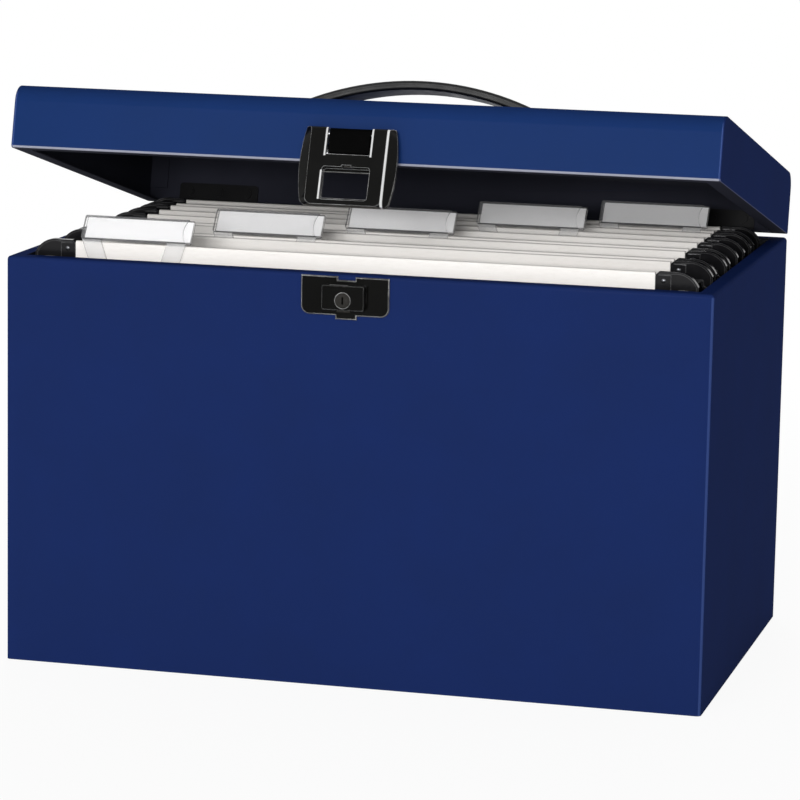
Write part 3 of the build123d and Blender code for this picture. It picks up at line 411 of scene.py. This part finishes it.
# Painted highlights on the hasp: upright lines along its right-hand ridge, both sides of its notch, and
# the left side of its window.
LATCH_X = -3.1 * MM
RIDGE_OUT = 19.6 * MM
NOTCH_OUT = 11.8 * MM
WINDOW_OUT = 12.6 * MM
RIDGE_HIGHLIGHT_HALF_W = 0.7 * MM
SIDE_HIGHLIGHT_HALF_W = 0.6 * MM
FLAP_LOW, FLAP_HIGH = (Vector(corner).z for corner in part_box("hasp_flap"))
FLAP_H = FLAP_HIGH - FLAP_LOW
NOTCH_FOOT = FLAP_LOW + 0.65 * FLAP_H
WINDOW_FOOT = FLAP_LOW + 0.11 * FLAP_H
WINDOW_HEAD = FLAP_LOW + 0.47 * FLAP_H
HIGHLIGHT_LINES = (
    (LATCH_X + RIDGE_OUT, RIDGE_HIGHLIGHT_HALF_W, FLAP_LOW, FLAP_HIGH),
    (LATCH_X - NOTCH_OUT, SIDE_HIGHLIGHT_HALF_W, NOTCH_FOOT, FLAP_HIGH),
    (LATCH_X + NOTCH_OUT, SIDE_HIGHLIGHT_HALF_W, NOTCH_FOOT, FLAP_HIGH),
    (LATCH_X - WINDOW_OUT, SIDE_HIGHLIGHT_HALF_W, WINDOW_FOOT, WINDOW_HEAD),
)
# The lid's end plates take the body's blue, not the lid wrap's lighter painted-light copy.
LID_END_PAINT = paint("lid_end_paint", BODY_BLUE, LID_MIDDLE, LID_UP, 0.3, False)
BY_NODE = {
    "hasp_flap": lacquer("hasp_black", (6, 6, 5), (220, 220, 220), 0.14, 0.10, 0.5 * MM, 0.7, HIGHLIGHT_LINES),
    "hasp_bracket": plastic("bracket_black", (9, 9, 9), 0.6, 900.0, 0.00002, 0.0),
    "lid_end_left": LID_END_PAINT,
    "lid_end_right": LID_END_PAINT,
    "hinge_rivets_lid": MATERIALS["hinge_black"],
    "hinge_backing_left": MATERIALS["hinge_black"],
    "hinge_backing_right": MATERIALS["hinge_black"],
}
for entry in frame["record"]["subparts"]:
    for material_slot in NODES[entry["node"]].material_slots:
        material_slot.link = "OBJECT"
        material_slot.material = BY_NODE.get(entry["node"], MATERIALS[entry["material_slot"]])


# ---- Small visual pieces ------------------------------------------------------------------------
def lathe(name, profile, segments):
    """A turned mesh about Z from (radius, height) points, from its axis outwards."""
    mesh = bmesh.new()
    rings = []
    for radius, height in profile:
        if radius == 0.0:
            rings.append([mesh.verts.new((0.0, 0.0, height))])
        else:
            turns = [2 * math.pi * step / segments for step in range(segments)]
            places = [(radius * math.cos(turn), radius * math.sin(turn), height) for turn in turns]
            rings.append([mesh.verts.new(place) for place in places])
    for inner, outer in zip(rings, rings[1:]):
        for step in range(segments):
            after = (step + 1) % segments
            if len(inner) == 1:
                mesh.faces.new((inner[0], outer[step], outer[after]))
            else:
                mesh.faces.new((inner[step], outer[step], outer[after], inner[after]))
    data = bpy.data.meshes.new(name)
    mesh.to_mesh(data)
    mesh.free()
    for polygon in data.polygons:
        polygon.use_smooth = True
    return data


FILES = 5
RIVET_R = 1.3 * MM
RIVET_RISE = 0.55 * MM
RIVET_SINK = 0.2 * MM
RIVET_IN = 17.4 * MM       # from a hook's tip to its rivet
RIVET_DOWN = 4.6 * MM      # from a hook's top to its rivet
HOOK_T = 3.0 * MM
RIVET_SEGMENTS = 16
DOME = (
    (0.0, RIVET_RISE),
    (0.5 * RIVET_R, 0.87 * RIVET_RISE),
    (0.85 * RIVET_R, 0.5 * RIVET_RISE),
    (RIVET_R, -RIVET_SINK),
)
dome_data = lathe("hook_rivet", DOME, RIVET_SEGMENTS)
dome_data.materials.append(metal("hook_rivet_steel", (88, 89, 92), 0.34, (1.0, 1.0, 1.0)))


def hook_rivets(number):
    """A domed rivet head on both faces of every hook end of one file."""
    low, high = (Vector(corner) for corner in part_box(f"file_{number}_hooks"))
    faces = ((low.y, -1), (low.y + HOOK_T, 1), (high.y - HOOK_T, -1), (high.y, 1))
    for x in (low.x + RIVET_IN, high.x - RIVET_IN):
        for y, way in faces:
            head = bpy.data.objects.new(f"hook_rivet_{number}", dome_data)
            turn = Matrix.Rotation(-way * math.pi / 2, 4, "X")
            head.matrix_world = Matrix.Translation((x, y, high.z - RIVET_DOWN)) @ turn
            bpy.context.collection.objects.link(head)
            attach(head, f"file_{number}")


for file_number in range(1, FILES + 1):
    hook_rivets(file_number)


def leaf_spring():
    """The catch's bowed leaf spring, copied rigid from the part's piece in rivet steel and carried by
    the body; the real spring flattens against the block's roof as the catch rises.
    """
    spring = bpy.data.objects.new("leaf_spring", NODES["catch_spring"].data.copy())
    spring.data.materials.clear()
    spring.data.materials.append(MATERIALS["rivet_steel"])
    bpy.context.collection.objects.link(spring)
    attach(spring, "body")
    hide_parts("catch_spring")
    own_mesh(spring)


leaf_spring()


# ---- Studio -------------------------------------------------------------------------------------
GLOSSY_SHARE = 1.0        # how bright the white surroundings look in reflections
AMBIENT = 0.38            # strength of the soft surroundings
WHITE = (1.0, 1.0, 1.0, 1.0)


def ray_kinds(tree):
    """Two factors: 1 for camera and transmission rays, and 1 for glossy rays."""
    path = tree.nodes.new("ShaderNodeLightPath")
    seen = tree.nodes.new("ShaderNodeMath")
    seen.operation = "MAXIMUM"
    tree.links.new(path.outputs["Is Camera Ray"], seen.inputs[0])
    tree.links.new(path.outputs["Is Transmission Ray"], seen.inputs[1])
    return seen.outputs[0], path.outputs["Is Glossy Ray"]


def white_strength(tree, seen, glossy):
    """Full white for what the camera sees directly, GLOSSY_SHARE of it in reflections."""
    node = tree.nodes.new("ShaderNodeMath")
    node.operation = "MULTIPLY_ADD"
    tree.links.new(glossy, node.inputs[0])
    node.inputs[1].default_value = GLOSSY_SHARE
    tree.links.new(seen, node.inputs[2])
    return node.outputs[0]


world = bpy.data.worlds.new("studio")
bpy.context.scene.world = world
world.use_nodes = True
tree = world.node_tree
soft = tree.nodes["Background"]
soft.inputs["Color"].default_value = WHITE
soft.inputs["Strength"].default_value = AMBIENT
white = tree.nodes.new("ShaderNodeBackground")
white.inputs["Color"].default_value = WHITE
seen_ray, glossy_ray = ray_kinds(tree)
tree.links.new(white_strength(tree, seen_ray, glossy_ray), white.inputs["Strength"])
either = tree.nodes.new("ShaderNodeMath")
either.operation = "MAXIMUM"
tree.links.new(seen_ray, either.inputs[0])
tree.links.new(glossy_ray, either.inputs[1])
chooser = tree.nodes.new("ShaderNodeMixShader")
tree.links.new(either.outputs[0], chooser.inputs[0])
tree.links.new(soft.outputs[0], chooser.inputs[1])
tree.links.new(white.outputs[0], chooser.inputs[2])
tree.links.new(chooser.outputs[0], tree.nodes["World Output"].inputs["Surface"])

FLOOR_HALF = 20.0
FLOOR_DARK = (0.93, 0.93, 0.93, 1.0)
FLOOR_LIGHT = (0.95, 0.95, 0.95, 1.0)
SHADOW_SHARE = 0.08       # how much of its own shading the floor shows the camera
SHADOW_NEAR = 0.45        # up to this far from the middle
SHADOW_FAR = 0.9          # and it is plain white from here on
floor_data = bpy.data.meshes.new("floor")
floor_corners = [(x * FLOOR_HALF, y * FLOOR_HALF, 0.0) for x, y in ((-1, -1), (1, -1), (1, 1), (-1, 1))]
floor_data.from_pydata(floor_corners, [], [(0, 1, 2, 3)])
floor = bpy.data.objects.new("floor", floor_data)
bpy.context.collection.objects.link(floor)
floor_shader = Shader("floor_white", Roughness=0.9, Specular_IOR_Level=0.0)
floor_shader.colour(floor_shader.mix(floor_shader.noise(3.0), FLOOR_DARK, FLOOR_LIGHT))
away = floor_shader.add("ShaderNodeVectorMath", operation="LENGTH")
floor_shader.wire(floor_shader.coords.outputs["Object"], away.inputs[0])
plain = floor_shader.spread(away.outputs["Value"], SHADOW_NEAR, SHADOW_FAR, 1.0 - SHADOW_SHARE, 1.0)
seen_ray, glossy_ray = ray_kinds(floor_shader.material.node_tree)
glow = floor_shader.add("ShaderNodeEmission")
glow.inputs["Color"].default_value = WHITE
floor_glow = white_strength(floor_shader.material.node_tree, seen_ray, glossy_ray)
floor_shader.wire(floor_glow, glow.inputs["Strength"])
floor_mix = floor_shader.add("ShaderNodeMixShader")
seen_share = floor_shader.math("MULTIPLY", seen_ray, plain)
floor_shader.wire(floor_shader.math("MAXIMUM", seen_share, glossy_ray), floor_mix.inputs[0])
floor_shader.wire(floor_shader.bsdf.outputs[0], floor_mix.inputs[1])
floor_shader.wire(glow.outputs[0], floor_mix.inputs[2])
floor_shader.wire(floor_mix.outputs[0], floor_shader.nodes["Material Output"].inputs["Surface"])
floor_data.materials.append(floor_shader.material)

AIM = Vector((0.0, 0.0, 0.15))


def area_light(name, place, width, height, power):
    """A rectangular lamp at a place in metres, turned to the box, with its power in watts."""
    lamp = bpy.data.lights.new(name, "AREA")
    lamp.shape = "RECTANGLE"
    lamp.size = width
    lamp.size_y = height
    lamp.energy = power
    holder = bpy.data.objects.new(name, lamp)
    holder.location = place
    holder.rotation_euler = (AIM - Vector(place)).to_track_quat("-Z", "Y").to_euler()
    bpy.context.collection.objects.link(holder)
    return holder


area_light("front_soft", (-0.35, -2.7, 1.12), 1.5, 0.4, 27.0)
area_light("low_soft", (0.2, -2.9, 0.62), 1.6, 0.25, 32.0)
area_light("right_strip", (2.2, -0.6, 1.1), 0.2, 1.6, 1.5)
rear_lamp = area_light("rear_soft", (-0.5, 2.8, 1.2), 1.6, 0.6, 54.0)
rear_lamp.visible_glossy = False   # so that it leaves no glare on the handle

# ---- Camera ---------------------------------------------------------------------------------------
FRAME_PX = 800
FOCAL_PX = 3757.0
SENSOR_MM = 36.0
AZIMUTH = math.radians(14.53)
ELEVATION = math.radians(10.10)
ROLL = math.radians(1.067)
DISTANCE = 1.992
TARGET = Vector((-0.0036, 0.0, 0.1285))
back = Vector((
    math.sin(AZIMUTH) * math.cos(ELEVATION),
    -math.cos(AZIMUTH) * math.cos(ELEVATION),
    math.sin(ELEVATION),
))
level = Vector((0.0, 0.0, 1.0)).cross(back).normalized()
upright = back.cross(level)
right = math.cos(ROLL) * level + math.sin(ROLL) * upright
up = -math.sin(ROLL) * level + math.cos(ROLL) * upright
camera_data = bpy.data.cameras.new("camera")
camera_data.sensor_width = SENSOR_MM
camera_data.lens = FOCAL_PX / FRAME_PX * SENSOR_MM
camera = bpy.data.objects.new("camera", camera_data)
camera_turn = Matrix((right, up, back)).transposed().to_4x4()
camera.matrix_world = Matrix.Translation(TARGET + back * DISTANCE) @ camera_turn
bpy.context.collection.objects.link(camera)
bpy.context.scene.camera = camera
bpy.context.scene.view_settings.view_transform = "Standard"
